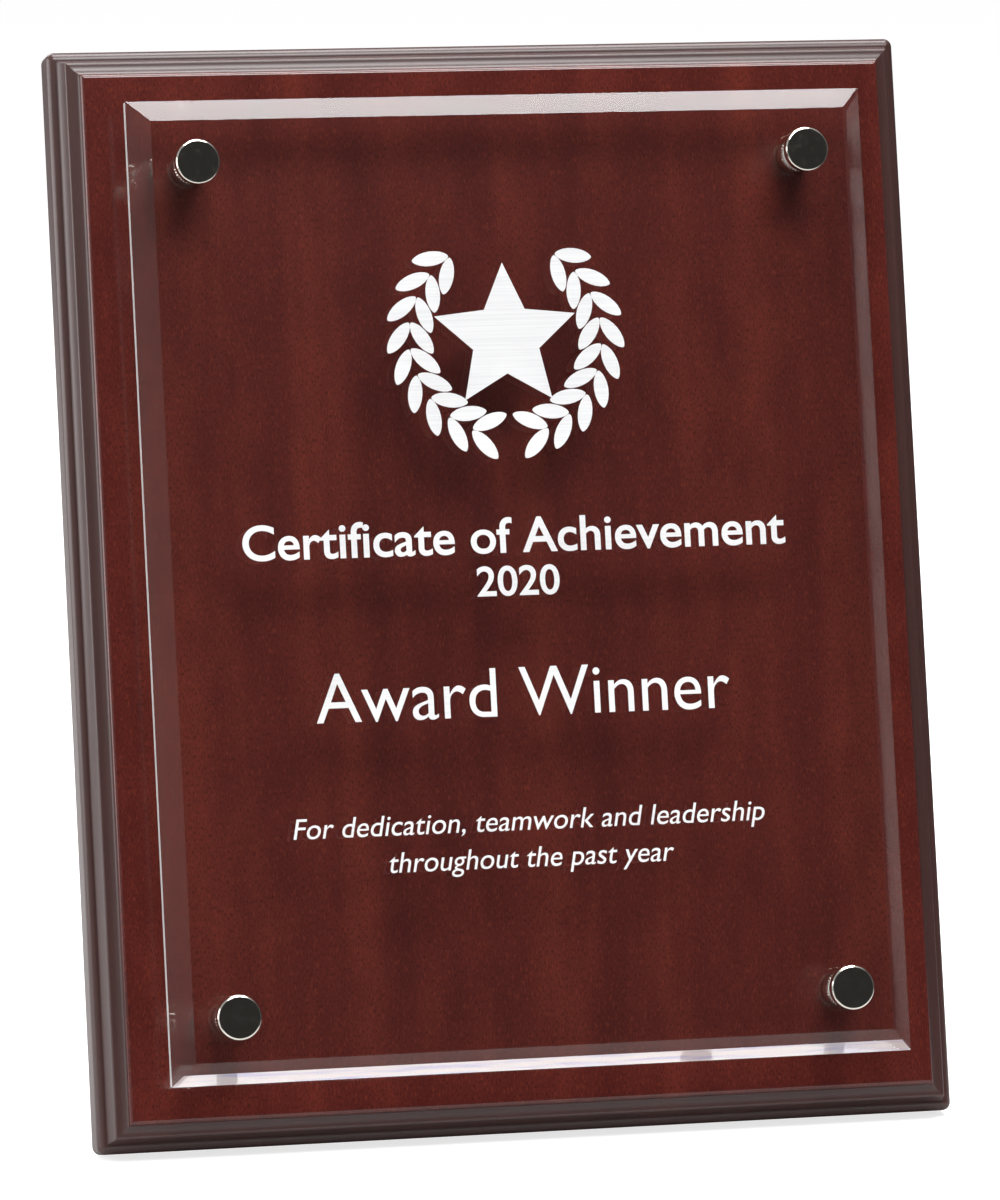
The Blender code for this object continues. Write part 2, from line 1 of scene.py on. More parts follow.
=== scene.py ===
"""A mahogany award plaque: a moulded board, a clear bevelled plate held off it by four
knurled stand-offs, a frosted emblem with lines of wording, and an easel strut behind.

Lengths are in metres in the row frame. Pieces are drawn upright and then leaned back
with the board: there +X is right, +Z is up, the front faces -Y and the board's back
lies in the plane y = 0 with its lower edge at z = 0.
"""

import json
import math

import bmesh
import bpy
from mathutils import Matrix, Vector, noise


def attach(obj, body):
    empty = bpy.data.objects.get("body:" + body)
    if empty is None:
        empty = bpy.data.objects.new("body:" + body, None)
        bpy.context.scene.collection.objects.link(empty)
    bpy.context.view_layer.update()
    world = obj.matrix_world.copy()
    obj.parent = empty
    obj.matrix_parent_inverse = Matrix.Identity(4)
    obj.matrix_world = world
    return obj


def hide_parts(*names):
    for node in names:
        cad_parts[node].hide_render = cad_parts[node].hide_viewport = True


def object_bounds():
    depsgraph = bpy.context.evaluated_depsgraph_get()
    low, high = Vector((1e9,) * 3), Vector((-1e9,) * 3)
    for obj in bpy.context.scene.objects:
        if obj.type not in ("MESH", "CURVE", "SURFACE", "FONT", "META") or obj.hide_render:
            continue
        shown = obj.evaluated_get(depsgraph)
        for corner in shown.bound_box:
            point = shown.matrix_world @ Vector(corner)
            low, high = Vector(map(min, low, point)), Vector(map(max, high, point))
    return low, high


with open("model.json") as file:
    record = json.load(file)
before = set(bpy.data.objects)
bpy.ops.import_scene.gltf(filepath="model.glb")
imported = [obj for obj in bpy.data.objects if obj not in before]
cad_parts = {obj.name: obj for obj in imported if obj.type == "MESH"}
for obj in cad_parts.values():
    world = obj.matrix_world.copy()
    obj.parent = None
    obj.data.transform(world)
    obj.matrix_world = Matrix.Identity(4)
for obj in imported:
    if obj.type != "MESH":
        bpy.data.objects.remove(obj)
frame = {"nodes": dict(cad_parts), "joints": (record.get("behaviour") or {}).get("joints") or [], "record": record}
cad_low, cad_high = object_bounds()

MM = 0.001


# Camera ------------------------------------------------------------------------------
# A long lens a little above the plaque and to its left, as for a catalogue picture.

camera = bpy.data.objects.new("camera", bpy.data.cameras.new("camera"))
bpy.context.scene.collection.objects.link(camera)
camera.location = (-0.36477, -1.56212, 0.36675)
camera.rotation_euler = (math.radians(90 - 8.721), 0, math.radians(-13.202))
camera.data.sensor_width = 36
camera.data.lens = 207.84
camera.data.clip_start, camera.data.clip_end = 0.1, 100
bpy.context.scene.camera = camera
bpy.context.scene.view_settings.view_transform = "Standard"


# Floor and light ---------------------------------------------------------------------
# A wide pale table, a high white tent, a large soft key light in front and above, and
# a strip overhead that the bevel along the plate's top edge catches.

FLOOR_RADIUS = 24.0
FLOOR_GAP = 0.02 * MM
FLOOR_ALBEDO = (0.62, 0.62, 0.62)
FLOOR_GLOW = 0.74
FLOOR_NEAR = (0.60, 0.60, 0.60)
FLOOR_FAR = (0.07, 0.07, 0.07)
TENT_RADIANCE = 0.42
LEFT_RADIANCE = 0.52
RIGHT_RADIANCE = 0.12
FRONT_RADIANCE = 0.030
MIRRORED_DIRECTION = (0.2257, -0.9315, 0.2856)  # where the panel mirrors the camera
BACKDROP_RADIANCE = 0.95
KEY_RADIANCE = 13.4
STRIP_RADIANCE = 10.5
BACKGROUND_RADIANCE = 6.0
CARD_RADIANCE = 3.6


class Reading:
    """One output of a shader's nodes. Arithmetic written on it adds Math nodes."""

    def __init__(self, socket):
        self.socket = socket

    def maths(self, operation, other=0.0, swapped=False):
        """A Math node on this reading and another value, or with the two swapped."""
        tree = self.socket.id_data
        made = tree.nodes.new("ShaderNodeMath")
        made.operation = operation
        for slot, value in zip(made.inputs, (other, self) if swapped else (self, other)):
            if isinstance(value, Reading):
                tree.links.new(value.socket, slot)
            else:
                slot.default_value = value
        return Reading(made.outputs[0])

    def __add__(self, other):
        return self.maths("ADD", other)

    def __sub__(self, other):
        return self.maths("SUBTRACT", other)

    def __rsub__(self, other):
        return self.maths("SUBTRACT", other, swapped=True)

    def __mul__(self, other):
        return self.maths("MULTIPLY", other)

    def __pow__(self, other):
        return self.maths("POWER", other)

    def __rpow__(self, other):
        return self.maths("POWER", other, swapped=True)

    def __abs__(self):
        return self.maths("ABSOLUTE")

    __radd__ = __add__
    __rmul__ = __mul__


class Shader:
    """A node tree being written, for a material or for the world."""

    def __init__(self, owner):
        owner.use_nodes = True
        self.owner = owner
        self.tree = owner.node_tree
        self.tree.nodes.clear()

    def node(self, kind, settings=None, inputs=None, output=0):
        """Adds a node: its settings first, then values or links for its sockets."""
        made = self.tree.nodes.new("ShaderNode" + kind)
        for name, value in (settings or {}).items():
            if name == "stops":
                stops = made.color_ramp.elements
                for place, (position, shade) in enumerate(value):
                    stop = stops[place] if place < len(stops) else stops.new(position)
                    stop.position = position
                    stop.color = (*shade, 1)
            else:
                setattr(made, name, value)
        for name, value in (inputs or {}).items():
            if isinstance(value, Reading):
                self.tree.links.new(value.socket, made.inputs[name])
            else:
                made.inputs[name].default_value = value
        return Reading(made.outputs[output]) if made.outputs else None

    def ramp(self, value, low, high, start=0.0, end=1.0):
        """value's stretch from low to high, drawn out smoothly to run from start to end."""
        sockets = {0: value, 1: low, 2: high, 3: start, 4: end}
        return self.node("MapRange", {"interpolation_type": "SMOOTHSTEP"}, sockets)

    def part(self, vector, axis):
        """One coordinate of a vector."""
        return self.node("SeparateXYZ", inputs={0: vector}, output=axis)

    def mix(self, share, first, second):
        """A colour between two others."""
        sockets = {0: share}
        for socket, colour in ((6, first), (7, second)):
            sockets[socket] = colour if isinstance(colour, Reading) else (*colour, 1)
        return self.node("Mix", {"data_type": "RGBA"}, sockets, output=2)

    def upright(self, place=None):
        """The point in the upright drawing, in millimetres."""
        to_upright = (PLAQUE if place is None else place).inverted()
        return self.node("Mapping", {"vector_type": "POINT"}, {
            "Vector": self.node("TexCoord", output="Object"),
            "Location": to_upright.to_translation() / MM,
            "Rotation": to_upright.to_euler(),
            "Scale": (1 / MM, 1 / MM, 1 / MM),
        })

    def grain(self, at, waves_per_mm, offset=(0, 0, 0), detail=2.0):
        """Noise drawn out along an axis: waves_per_mm gives its fineness on each one."""
        stretched = self.node(
            "Mapping", {}, {"Vector": at, "Location": offset, "Scale": waves_per_mm}
        )
        return self.node("TexNoise", {}, {"Vector": stretched, "Scale": 1.0, "Detail": detail})

    def bump(self, height, distance, strength):
        """A normal for relief that is distance deep in metres where height is 1."""
        sockets = {"Height": height, "Distance": distance, "Strength": strength}
        return self.node("Bump", {}, sockets)

    def surface(self, sockets):
        """The finished surface, from the values or links of its main sockets."""
        closed = {
            name: (*value, 1) if isinstance(value, tuple) else value
            for name, value in sockets.items()
        }
        self.node("OutputMaterial", {}, {"Surface": self.node("BsdfPrincipled", {}, closed)})


world = Shader(bpy.data.worlds.new("studio"))
bpy.context.scene.world = world.owner
direction = world.node("TexCoord", output="Generated")
axes = [world.part(direction, axis) for axis in range(3)]
overhead = world.ramp(axes[2], 0.50, 0.72)
# the room is light on the left, dim on the right and dark where the panel mirrors it
leftwards = world.ramp(axes[0], 0.30, -0.30)
sides = RIGHT_RADIANCE + leftwards * (LEFT_RADIANCE - RIGHT_RADIANCE)
shares = [axis * share for axis, share in zip(axes, MIRRORED_DIRECTION)]
mirrored = world.ramp(shares[0] + shares[1] + shares[2], 0.74, 0.93)
low_room = sides + mirrored * (FRONT_RADIANCE - sides)
radiance = low_room + overhead * (TENT_RADIANCE - low_room)
# the camera sees a white backdrop instead of the room
on_camera = world.node("LightPath", output="Is Camera Ray")
radiance = radiance + on_camera * (BACKDROP_RADIANCE - radiance)
room = world.node("Background", {}, {"Color": (1, 1, 1, 1), "Strength": radiance})
world.node("OutputWorld", {}, {"Surface": room})

floor_mesh = bpy.data.meshes.new("floor")
bm = bmesh.new()
bmesh.ops.create_circle(bm, cap_ends=True, segments=64, radius=FLOOR_RADIUS)
bmesh.ops.translate(bm, vec=(0, 0, cad_low.z - FLOOR_GAP), verts=bm.verts)
bm.to_mesh(floor_mesh)
bm.free()
floor = bpy.data.objects.new("floor", floor_mesh)
bpy.context.scene.collection.objects.link(floor)
floor_paint = Shader(bpy.data.materials.new("floor paint"))
lit = floor_paint.node("BsdfDiffuse", {}, {"Color": (*FLOOR_ALBEDO, 1)})
glow = floor_paint.node("Emission", {}, {"Strength": FLOOR_GLOW})
seen = floor_paint.node("AddShader", {}, {0: lit, 1: glow})
# off camera the table darkens to the right and in front, where the side bevels mirror it
spot = floor_paint.node("TexCoord", output="Object")
rightwards = floor_paint.ramp(floor_paint.part(spot, 0), 0.10, 0.45)
forwards = floor_paint.ramp(floor_paint.part(spot, 1), -0.16, -0.46)
darkening = rightwards.maths("MAXIMUM", forwards)
cloth = floor_paint.node(
    "BsdfDiffuse", {}, {"Color": floor_paint.mix(darkening, FLOOR_NEAR, FLOOR_FAR)}
)
straight = floor_paint.node("LightPath", output="Is Camera Ray")
table_top = floor_paint.node("MixShader", {}, {0: straight, 1: cloth, 2: seen})
floor_paint.node("OutputMaterial", {}, {"Surface": table_top})
floor_mesh.materials.append(floor_paint.owner)


def soft_box(name, middle, target, width, height, radiance):
    """A square-edged soft light at middle that faces target."""
    light = bpy.data.lights.new(name, "AREA")
    light.shape = "RECTANGLE"
    light.size, light.size_y = width, height
    light.energy = radiance * math.pi * width * height
    lamp = bpy.data.objects.new(name, light)
    bpy.context.scene.collection.objects.link(lamp)
    lamp.location = middle
    lamp.rotation_euler = (Vector(target) - Vector(middle)).to_track_quat("-Z", "Y").to_euler()
    lamp.visible_camera = False


plaque_middle = (cad_low + cad_high) / 2
soft_box("key", (0.10, -0.98, 1.40), plaque_middle, 1.00, 0.52, KEY_RADIANCE)
soft_box("overhead strip", (0.15, 0.12, 1.30), (0.15, 0.12, 0.25), 0.90, 0.55, STRIP_RADIANCE)
soft_box("left card", (-0.90, 0.15, 0.30), (-0.10, 0.0, 0.12), 0.90, 0.50, CARD_RADIANCE)
soft_box(
    "background", (-0.45, 1.35, 1.10), (-0.40, 1.05, 0.0), 0.80, 0.60, BACKGROUND_RADIANCE
)


# Board -------------------------------------------------------------------------------
# A mahogany-veneered board with a moulding cut round its front edge, stained red-brown
# and sprayed with clear lacquer. Behind, it is hollowed under the keyhole hanger.

LIP_HEIGHT = 8.4 * MM
LIP_RADIUS = 2.0 * MM
LIP_FLAT = 0.3 * MM
STEP_SLOPE = 1.0 * MM
STEP_ROOT_WIDTH = 0.1 * MM
STEP_ROOT_HEIGHT = 0.12 * MM
NOSE_DEPTH = 2.3 * MM
NOSE_RADIUS = 0.6 * MM
COVE_WIDTH = 2.5 * MM
PANEL_EDGE_RADIUS = 1.0 * MM
BOARD_CORNER_RADIUS = 1.9 * MM
MITRE_RADIUS = 0.22 * MM
BACK_EDGE_EASE = 0.5 * MM
HANGER_FIT = 0.15 * MM
HOLLOW_WIDTH = 11.2 * MM
HOLLOW_HEIGHT = 22.0 * MM
HOLLOW_DEPTH = 8.0 * MM
HOLLOW_CORNER_RADIUS = 2.5 * MM
COINCIDENT = 0.0001 * MM  # points of an outline closer than this are one
WELD = 0.0005 * MM  # vertices closer than this are made one
TOUCHING = 0.01 * MM  # a face this close to a plane lies in it
FACING = 0.5  # a unit normal's least share along the axis that it is said to face

mounts = {mount["name"]: mount for mount in frame["record"]["mounts"]}
back_axis = Vector(mounts["back_face"]["axis"])
RIGHT = Vector((1, 0, 0))
UP = RIGHT.cross(back_axis).normalized()
BACK = UP.cross(RIGHT)
board_points = [vert.co for vert in frame["nodes"]["board"].data.vertices]
board_origin = BACK * max(point.dot(BACK) for point in board_points)
board_origin += UP * min(point.dot(UP) for point in board_points)
PLAQUE = Matrix.Translation(board_origin) @ Matrix((RIGHT, BACK, UP)).transposed().to_4x4()


def upright_box(node, place=PLAQUE):
    """The lowest and highest corners of a CAD node as it is drawn upright."""
    to_upright = place.inverted()
    points = [to_upright @ vert.co for vert in frame["nodes"][node].data.vertices]
    low = Vector([min(point[axis] for point in points) for axis in range(3)])
    high = Vector([max(point[axis] for point in points) for axis in range(3)])
    return low, high


def finish_piece(name, bm, material, body="plaque", place=PLAQUE, crease=30):
    """Leans the drawn piece back with the board and hangs it on its body."""
    bm.transform(place)
    mesh = bpy.data.meshes.new(name)
    bm.to_mesh(mesh)
    bm.free()
    mesh.polygons.foreach_set("use_smooth", [True] * len(mesh.polygons))
    mesh.set_sharp_from_angle(angle=math.radians(crease))
    mesh.materials.append(material)
    piece = bpy.data.objects.new(name, mesh)
    bpy.context.scene.collection.objects.link(piece)
    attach(piece, body)
    return piece


def corner_arc(centre, radii, start, end, steps):
    """Points round part of an ellipse, the first one left out."""
    points = []
    for step in range(1, steps + 1):
        angle = math.radians(start + (end - start) * step / steps)
        across, along = radii[0] * math.cos(angle), radii[1] * math.sin(angle)
        points.append((centre[0] + across, centre[1] + along))
    return points


def rounded_loop(bm, outline, depth, middle=(0, 0), steps=6):
    """A loop of edges in the plane y = depth: a rectangle (width, height, corner radius)."""
    width, height, radius = outline
    points = []
    for number in range(4 * (steps + 1)):
        quarter, step = divmod(number, steps + 1)
        angle = math.radians(90 * (quarter + step / steps))
        side = math.radians(90 * quarter + 45)
        across = math.copysign(width / 2 - radius, math.cos(side)) + radius * math.cos(angle)
        along = math.copysign(height / 2 - radius, math.sin(side)) + radius * math.sin(angle)
        point = Vector((middle[0] + across, depth, middle[1] + along))
        # on a round hole one quarter ends where the next begins
        if all((point - other).length > COINCIDENT for other in points[-1:] + points[:1]):
            points.append(point)
    verts = [bm.verts.new(point) for point in points]
    return [bm.edges.new(pair) for pair in zip(verts, verts[1:] + verts[:1])]


def extrude_loop(bm, edges, place):
    """Draws a closed loop of edges out, and puts each new vertex where place says."""
    made = bmesh.ops.extrude_edge_only(bm, edges=edges)["geom"]
    new = {item for item in made if isinstance(item, bmesh.types.BMVert)}
    for vert in new:
        vert.co = place(vert.co)
    return [
        item for item in made if isinstance(item, bmesh.types.BMEdge) and set(item.verts) <= new
    ]


def onto(outline, next_outline, depth, middle=(0, 0)):
    """A place() for extrude_loop: from one rounded rectangle to the next."""

    def place(point):
        target = [0.0, depth, 0.0]
        for axis, size in ((0, 0), (2, 1)):
            offset = point[axis] - middle[axis // 2]
            centre = math.copysign(outline[size] / 2 - outline[2], offset)
            next_centre = math.copysign(next_outline[size] / 2 - next_outline[2], offset)
            turn = (offset - centre) / outline[2]
            target[axis] = middle[axis // 2] + next_centre + turn * next_outline[2]
        return target

    return place


def moulded_sides(bm, edges, outline, profile, least_radius, middle=(0, 0)):
    """Carries a loop along a profile of (inset, depth) points. Returns the last loop."""
    width, height, radius = outline
    last = outline
    for inset, depth in profile:
        following = (width - 2 * inset, height - 2 * inset, max(radius - inset, least_radius))
        edges = extrude_loop(bm, edges, onto(last, following, depth, middle))
        last = following
    return edges


def fill_flat(bm, edges):
    """Fills between flat loops of edges. The fill loses edges under 0.03, so it works in mm."""
    bmesh.ops.scale(bm, vec=(1 / MM, 1 / MM, 1 / MM), verts=bm.verts)
    bmesh.ops.triangle_fill(bm, use_beauty=True, edges=edges)
    bmesh.ops.scale(bm, vec=(MM, MM, MM), verts=bm.verts)


def close_mesh(bm):
    """Joins what meets and turns every face outwards."""
    bmesh.ops.remove_doubles(bm, verts=bm.verts, dist=WELD)
    bmesh.ops.recalc_face_normals(bm, faces=bm.faces)


board_low, board_high = upright_box("board")
board_width = board_high.x - board_low.x
board_height = board_high.z - board_low.z
board_thickness = board_high.y - board_low.y
board_middle = (0.0, board_height / 2)

nose_height = board_thickness - NOSE_DEPTH
step_top = (LIP_RADIUS + LIP_FLAT + STEP_SLOPE, nose_height - NOSE_RADIUS)
cove_start = step_top[0] + NOSE_RADIUS
cove_top = board_thickness - PANEL_EDGE_RADIUS
cove_end = cove_start + COVE_WIDTH
cove_radii = (COVE_WIDTH, cove_top - nose_height)
wall_top = LIP_HEIGHT - LIP_RADIUS
edge_centre = (cove_end + PANEL_EDGE_RADIUS, cove_top)
# the moulding from the board's side to its panel, as (inset, height above the back)
moulding = [(0, wall_top)]
moulding += corner_arc((LIP_RADIUS, wall_top), (LIP_RADIUS, LIP_RADIUS), 180, 90, 12)
moulding += [
    (LIP_RADIUS + LIP_FLAT - STEP_ROOT_WIDTH, LIP_HEIGHT),
    (LIP_RADIUS + LIP_FLAT, LIP_HEIGHT + STEP_ROOT_HEIGHT),
    step_top,
]
moulding += corner_arc((cove_start, step_top[1]), (NOSE_RADIUS, NOSE_RADIUS), 180, 90, 6)
moulding += corner_arc((cove_start, cove_top), cove_radii, 270, 360, 12)
moulding += corner_arc(edge_centre, (PANEL_EDGE_RADIUS, PANEL_EDGE_RADIUS), 180, 90, 8)

bm = bmesh.new()
outline = (board_width, board_height, BOARD_CORNER_RADIUS)
back_outline = (
    board_width - 2 * BACK_EDGE_EASE,
    board_height - 2 * BACK_EDGE_EASE,
    BOARD_CORNER_RADIUS - BACK_EDGE_EASE,
)
back_edges = rounded_loop(bm, back_outline, 0.0, board_middle)
first = extrude_loop(bm, back_edges, onto(back_outline, outline, -BACK_EDGE_EASE, board_middle))
profile = [(inset, -height) for inset, height in moulding]
panel_edges = moulded_sides(bm, first, outline, profile, MITRE_RADIUS, board_middle)
bmesh.ops.edgeloop_fill(bm, edges=panel_edges)

hanger_low, hanger_high = upright_box("keyhole_plate")
hanger_middle = (0.0, (hanger_low.z + hanger_high.z) / 2)
recess = (
    hanger_high.x - hanger_low.x + 2 * HANGER_FIT,
    hanger_high.z - hanger_low.z + 2 * HANGER_FIT,
    (hanger_high.x - hanger_low.x) / 2 + HANGER_FIT,
)
recess_edges = rounded_loop(bm, recess, 0.0, hanger_middle, steps=12)
fill_flat(bm, back_edges + recess_edges)
recess_depth = hanger_low.y - HANGER_FIT
recess_floor = extrude_loop(bm, recess_edges, onto(recess, recess, recess_depth, hanger_middle))
hollow = (HOLLOW_WIDTH, HOLLOW_HEIGHT, HOLLOW_CORNER_RADIUS)
hollow_edges = rounded_loop(bm, hollow, recess_depth, hanger_middle)
fill_flat(bm, recess_floor + hollow_edges)
hollow_floor = extrude_loop(bm, hollow_edges, onto(hollow, hollow, -HOLLOW_DEPTH, hanger_middle))
bmesh.ops.edgeloop_fill(bm, edges=hollow_floor)
close_mesh(bm)
PANEL_FINISH, ROUTED_FINISH = range(2)
for face in bm.faces:
    from_side = board_width / 2 - max(abs(vert.co.x) for vert in face.verts)
    from_end = board_height / 2 - max(abs(vert.co.z - board_middle[1]) for vert in face.verts)
    inside_moulding = min(from_side, from_end) >= cove_end - TOUCHING
    on_panel = face.calc_center_median().y < TOUCHING - board_thickness
    on_back = face.normal.y >= FACING
    routed = not (inside_moulding or on_panel or on_back)
    face.material_index = ROUTED_FINISH if routed else PANEL_FINISH


def mahogany(name, depth, coat_roughness):
    """Veneer stained red-brown under lacquer; depth is how far the colour goes to a dull grey-brown: darker wood
    with painted sheen in it, a grey that stands in for the lacquer's reflection.
    """
    wood = Shader(bpy.data.materials.new(name))
    at = wood.upright()
    dark_flecks = wood.ramp(wood.grain(at, (4.0, 4.0, 1.1)), 0.50, 0.64)
    red_flecks = wood.ramp(wood.grain(at, (2.2, 2.2, 0.65), offset=(31, 0, 57)), 0.54, 0.72)
    ribbons = wood.grain(at, (0.075, 0.075, 0.005), offset=(5, 0, 9), detail=3.0)
    figure = wood.grain(at, (0.12, 0.12, 0.05), offset=(17, 3, 2), detail=3.0)
    pores = wood.ramp(wood.grain(at, (6.0, 6.0, 0.5), offset=(3, 8, 1), detail=1.0), 0.60, 0.70)
    stain_and_sheen = wood.node("ValToRGB", {"stops": [
        (0.32, (0.060, 0.0098, 0.0080)),
        (0.50, (0.092, 0.0150, 0.0117)),
        (0.68, (0.130, 0.0225, 0.0148)),
    ]}, {0: ribbons * 0.6 + figure * 0.4})
    stain_and_sheen = wood.mix(dark_flecks * 0.62, stain_and_sheen, (0.030, 0.0066, 0.0062))
    stain_and_sheen = wood.mix(red_flecks * 0.34, stain_and_sheen, (0.190, 0.0370, 0.0170))
    stain_and_sheen = wood.mix(pores * 0.28, stain_and_sheen, (0.029, 0.0060, 0.0058))
    # painted sheen: the colour goes towards a grey-brown, darker wood plus a grey that stands in for the lacquer's
    # reflection
    stain_and_sheen = wood.mix(depth, stain_and_sheen, (0.0400, 0.0235, 0.0215))
    lacquer_waves = wood.grain(at, (0.11, 0.11, 0.11), detail=1.0)
    surface = dark_flecks * -0.4 + lacquer_waves * 2.0
    wood.surface({
        "Base Color": stain_and_sheen,
        "Roughness": 0.42 + dark_flecks * 0.10,
        "Specular IOR Level": 0.0,
        "Coat Weight": 1.0,
        "Coat Roughness": coat_roughness,
        "Coat IOR": 1.55,
        "Normal": wood.bump(surface, 0.004 * MM, 0.5),
    })
    return wood.owner


board = finish_piece("moulded_board", bm, mahogany("mahogany", 0.0, 0.14))
# the routed edge keeps a satin lacquer; its colour is darker wood with painted sheen, a grey that stands in for
# that lacquer's reflection
board.data.materials.append(mahogany("routed mahogany with painted sheen", 0.75, 0.32))
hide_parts("board")


# Felt --------------------------------------------------------------------------------
# A sheet of black felt glued over the back, with windows cut round the hinge leaf and
# the hanger, so that the plaque doesn't scratch a wall or a shelf.

felt_low, felt_high = upright_box("backing_felt")
FELT_CELL = 2.6 * MM
FELT_THICKNESS = 0.75 * MM
FELT_CLEARANCE = 1.0 * MM
FELT_SNAP = 0.001 * MM
NAP_WAVES = ((90, 0.10 * MM), (420, 0.06 * MM))  # waves per metre, and their height
felt_width, felt_height = felt_high.x - felt_low.x, felt_high.z - felt_low.z
leaf_low, leaf_high = upright_box("hinge_leaf_board")
windows = [
    (
        low.x - FELT_CLEARANCE, high.x + FELT_CLEARANCE,
        low.z - FELT_CLEARANCE, high.z + FELT_CLEARANCE,
    )
    for low, high in ((leaf_low, leaf_high), (hanger_low, hanger_high))
]
bm = bmesh.new()
bmesh.ops.create_grid(
    bm,
    x_segments=round(felt_width / FELT_CELL),
    y_segments=round(felt_height / FELT_CELL),
    size=0.5,
)
bmesh.ops.scale(bm, vec=(felt_width, felt_height, 1), verts=bm.verts)
bmesh.ops.rotate(bm, matrix=Matrix.Rotation(math.radians(90), 3, "X"), verts=bm.verts)
bmesh.ops.translate(
    bm, vec=(0, felt_low.y + FELT_THICKNESS, (felt_low.z + felt_high.z) / 2), verts=bm.verts
)
for left, right, bottom, top in windows:
    for point, normal in (
        ((left, 0, 0), (1, 0, 0)), ((right, 0, 0), (1, 0, 0)),
        ((0, 0, bottom), (0, 0, 1)), ((0, 0, top), (0, 0, 1)),
    ):
        everything = bm.verts[:] + bm.edges[:] + bm.faces[:]
        bmesh.ops.bisect_plane(
            bm, geom=everything, dist=FELT_SNAP, plane_co=point, plane_no=normal
        )
    cut = []
    for face in bm.faces:
        middle = face.calc_center_median()
        if left < middle.x < right and bottom < middle.z < top:
            cut.append(face)
    bmesh.ops.delete(bm, geom=cut, context="FACES")
felt_area = sum(face.calc_area() for face in bm.faces)
for vert in bm.verts:
    if not vert.is_boundary:
        vert.co.y += sum(noise.noise(vert.co * waves) * height for waves, height in NAP_WAVES)
for face in bm.faces:
    if face.normal.y < 0:
        face.normal_flip()
bmesh.ops.solidify(bm, geom=bm.faces[:], thickness=FELT_THICKNESS)
bmesh.ops.recalc_face_normals(bm, faces=bm.faces)

felt = Shader(bpy.data.materials.new("black felt"))
at = felt.upright()
wander = felt.node("TexNoise", {}, {"Vector": at, "Scale": 0.9, "Detail": 1.0}, output=1)
swirl = felt.node("VectorMath", {"operation": "ADD"}, {0: at, 1: wander})
fibres = felt.grain(swirl, (5.0, 5.0, 1.2), detail=3.0)
crossing = felt.grain(swirl, (1.3, 5.0, 5.5), offset=(7, 1, 3), detail=3.0)
clumps = felt.grain(at, (0.5, 0.5, 0.5), detail=3.0)
shade = fibres * 0.45 + crossing * 0.35 + clumps * 0.20
felt.surface({
    "Base Color": felt.node("ValToRGB", {"stops": [
        (0.35, (0.0045, 0.0045, 0.0050)),
        (0.55, (0.0125, 0.0122, 0.0128)),
        (0.70, (0.030, 0.030, 0.031)),
    ]}, {0: shade}),
    "Roughness": 0.95,
    "Specular IOR Level": 0.2,
    "Sheen Weight": 0.35,
    "Sheen Roughness": 0.45,
    "Normal": felt.bump(shade, 0.25 * MM, 0.8),
})
felt_sheet = finish_piece("felt_sheet", bm, felt.owner, crease=60)
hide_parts("backing_felt")


# Plate -------------------------------------------------------------------------------
# A cast acrylic plate, diamond-polished, with a wide bevel cut round its front edge and
# a hole in each corner for the stand-offs' studs.

BEVEL_WIDTH = 5.0 * MM
BEVEL_DEPTH = 3.8 * MM
PLATE_EASE = 0.07 * MM
PLATE_CORNER_RADIUS = 0.25 * MM
BEVEL_CORNER_RADIUS = 0.05 * MM
HOLE_RADIUS = 2.7 * MM
SLANTED = 0.3  # a bevel face's normal leans at least this far towards the front
CLEAR, BEVELLED, LEFT_WALL, BRIGHT_BEVEL = range(4)  # the plate's finishes, in their order; the last two carry painted light
plate_low, plate_high = upright_box("display_plate")
plate_width, plate_height = plate_high.x - plate_low.x, plate_high.z - plate_low.z
plate_middle = (0.0, (plate_low.z + plate_high.z) / 2)
plate_front, plate_back = plate_low.y, plate_high.y
bevel_start = plate_front + BEVEL_DEPTH
studs = {}
for corner in ("top_left", "top_right", "bottom_left", "bottom_right"):
    low, high = upright_box("standoff_cap_" + corner)
    studs[corner] = ((low.x + high.x) / 2, (low.z + high.z) / 2)

bm = bmesh.new()
outline = (plate_width, plate_height, PLATE_CORNER_RADIUS)
eased = (
    plate_width - 2 * PLATE_EASE,
    plate_height - 2 * PLATE_EASE,
    PLATE_CORNER_RADIUS - PLATE_EASE,
)
back_edges = rounded_loop(bm, eased, plate_back, plate_middle, steps=3)
first = extrude_loop(bm, back_edges, onto(eased, outline, plate_back - PLATE_EASE, plate_middle))
profile = [
    (0, bevel_start + PLATE_EASE / 2),
    (PLATE_EASE / 2, bevel_start - PLATE_EASE / 2),
    (BEVEL_WIDTH / 2, bevel_start - BEVEL_DEPTH / 2),
    (BEVEL_WIDTH - PLATE_EASE, plate_front + PLATE_EASE * 0.7),
    (BEVEL_WIDTH + PLATE_EASE, plate_front),
]
front_edges = moulded_sides(bm, first, outline, profile, BEVEL_CORNER_RADIUS, plate_middle)
hole = (2 * HOLE_RADIUS, 2 * HOLE_RADIUS, HOLE_RADIUS)
for x, z in studs.values():
    far = rounded_loop(bm, hole, plate_back, (x, z), steps=12)
    near = extrude_loop(bm, far, onto(hole, hole, plate_front, (x, z)))
    back_edges += far
    front_edges += near
fill_flat(bm, back_edges)
fill_flat(bm, front_edges)
close_mesh(bm)
for face in bm.faces:
    middle = face.calc_center_median()
    at_rim = plate_front + TOUCHING < middle.y < plate_back - TOUCHING
    in_hole = any(
        math.hypot(middle.x - x, middle.z - z) < 1.5 * HOLE_RADIUS for x, z in studs.values()
    )
    if not at_rim or in_hole:
        continue
    # the lower half of the bottom bevel carries the painted glow
    at_bottom = face.normal.z < -SLANTED and middle.z < plate_low.z + BEVEL_WIDTH / 2
    if abs(face.normal.y) > SLANTED:
        face.material_index = BRIGHT_BEVEL if at_bottom else BEVELLED
    # painted highlight: only the left side wall is made partly milky white, standing in for the bright line that
    # light from the left draws along it
    elif face.normal.x < -FACING and not at_bottom:
        face.material_index = LEFT_WALL


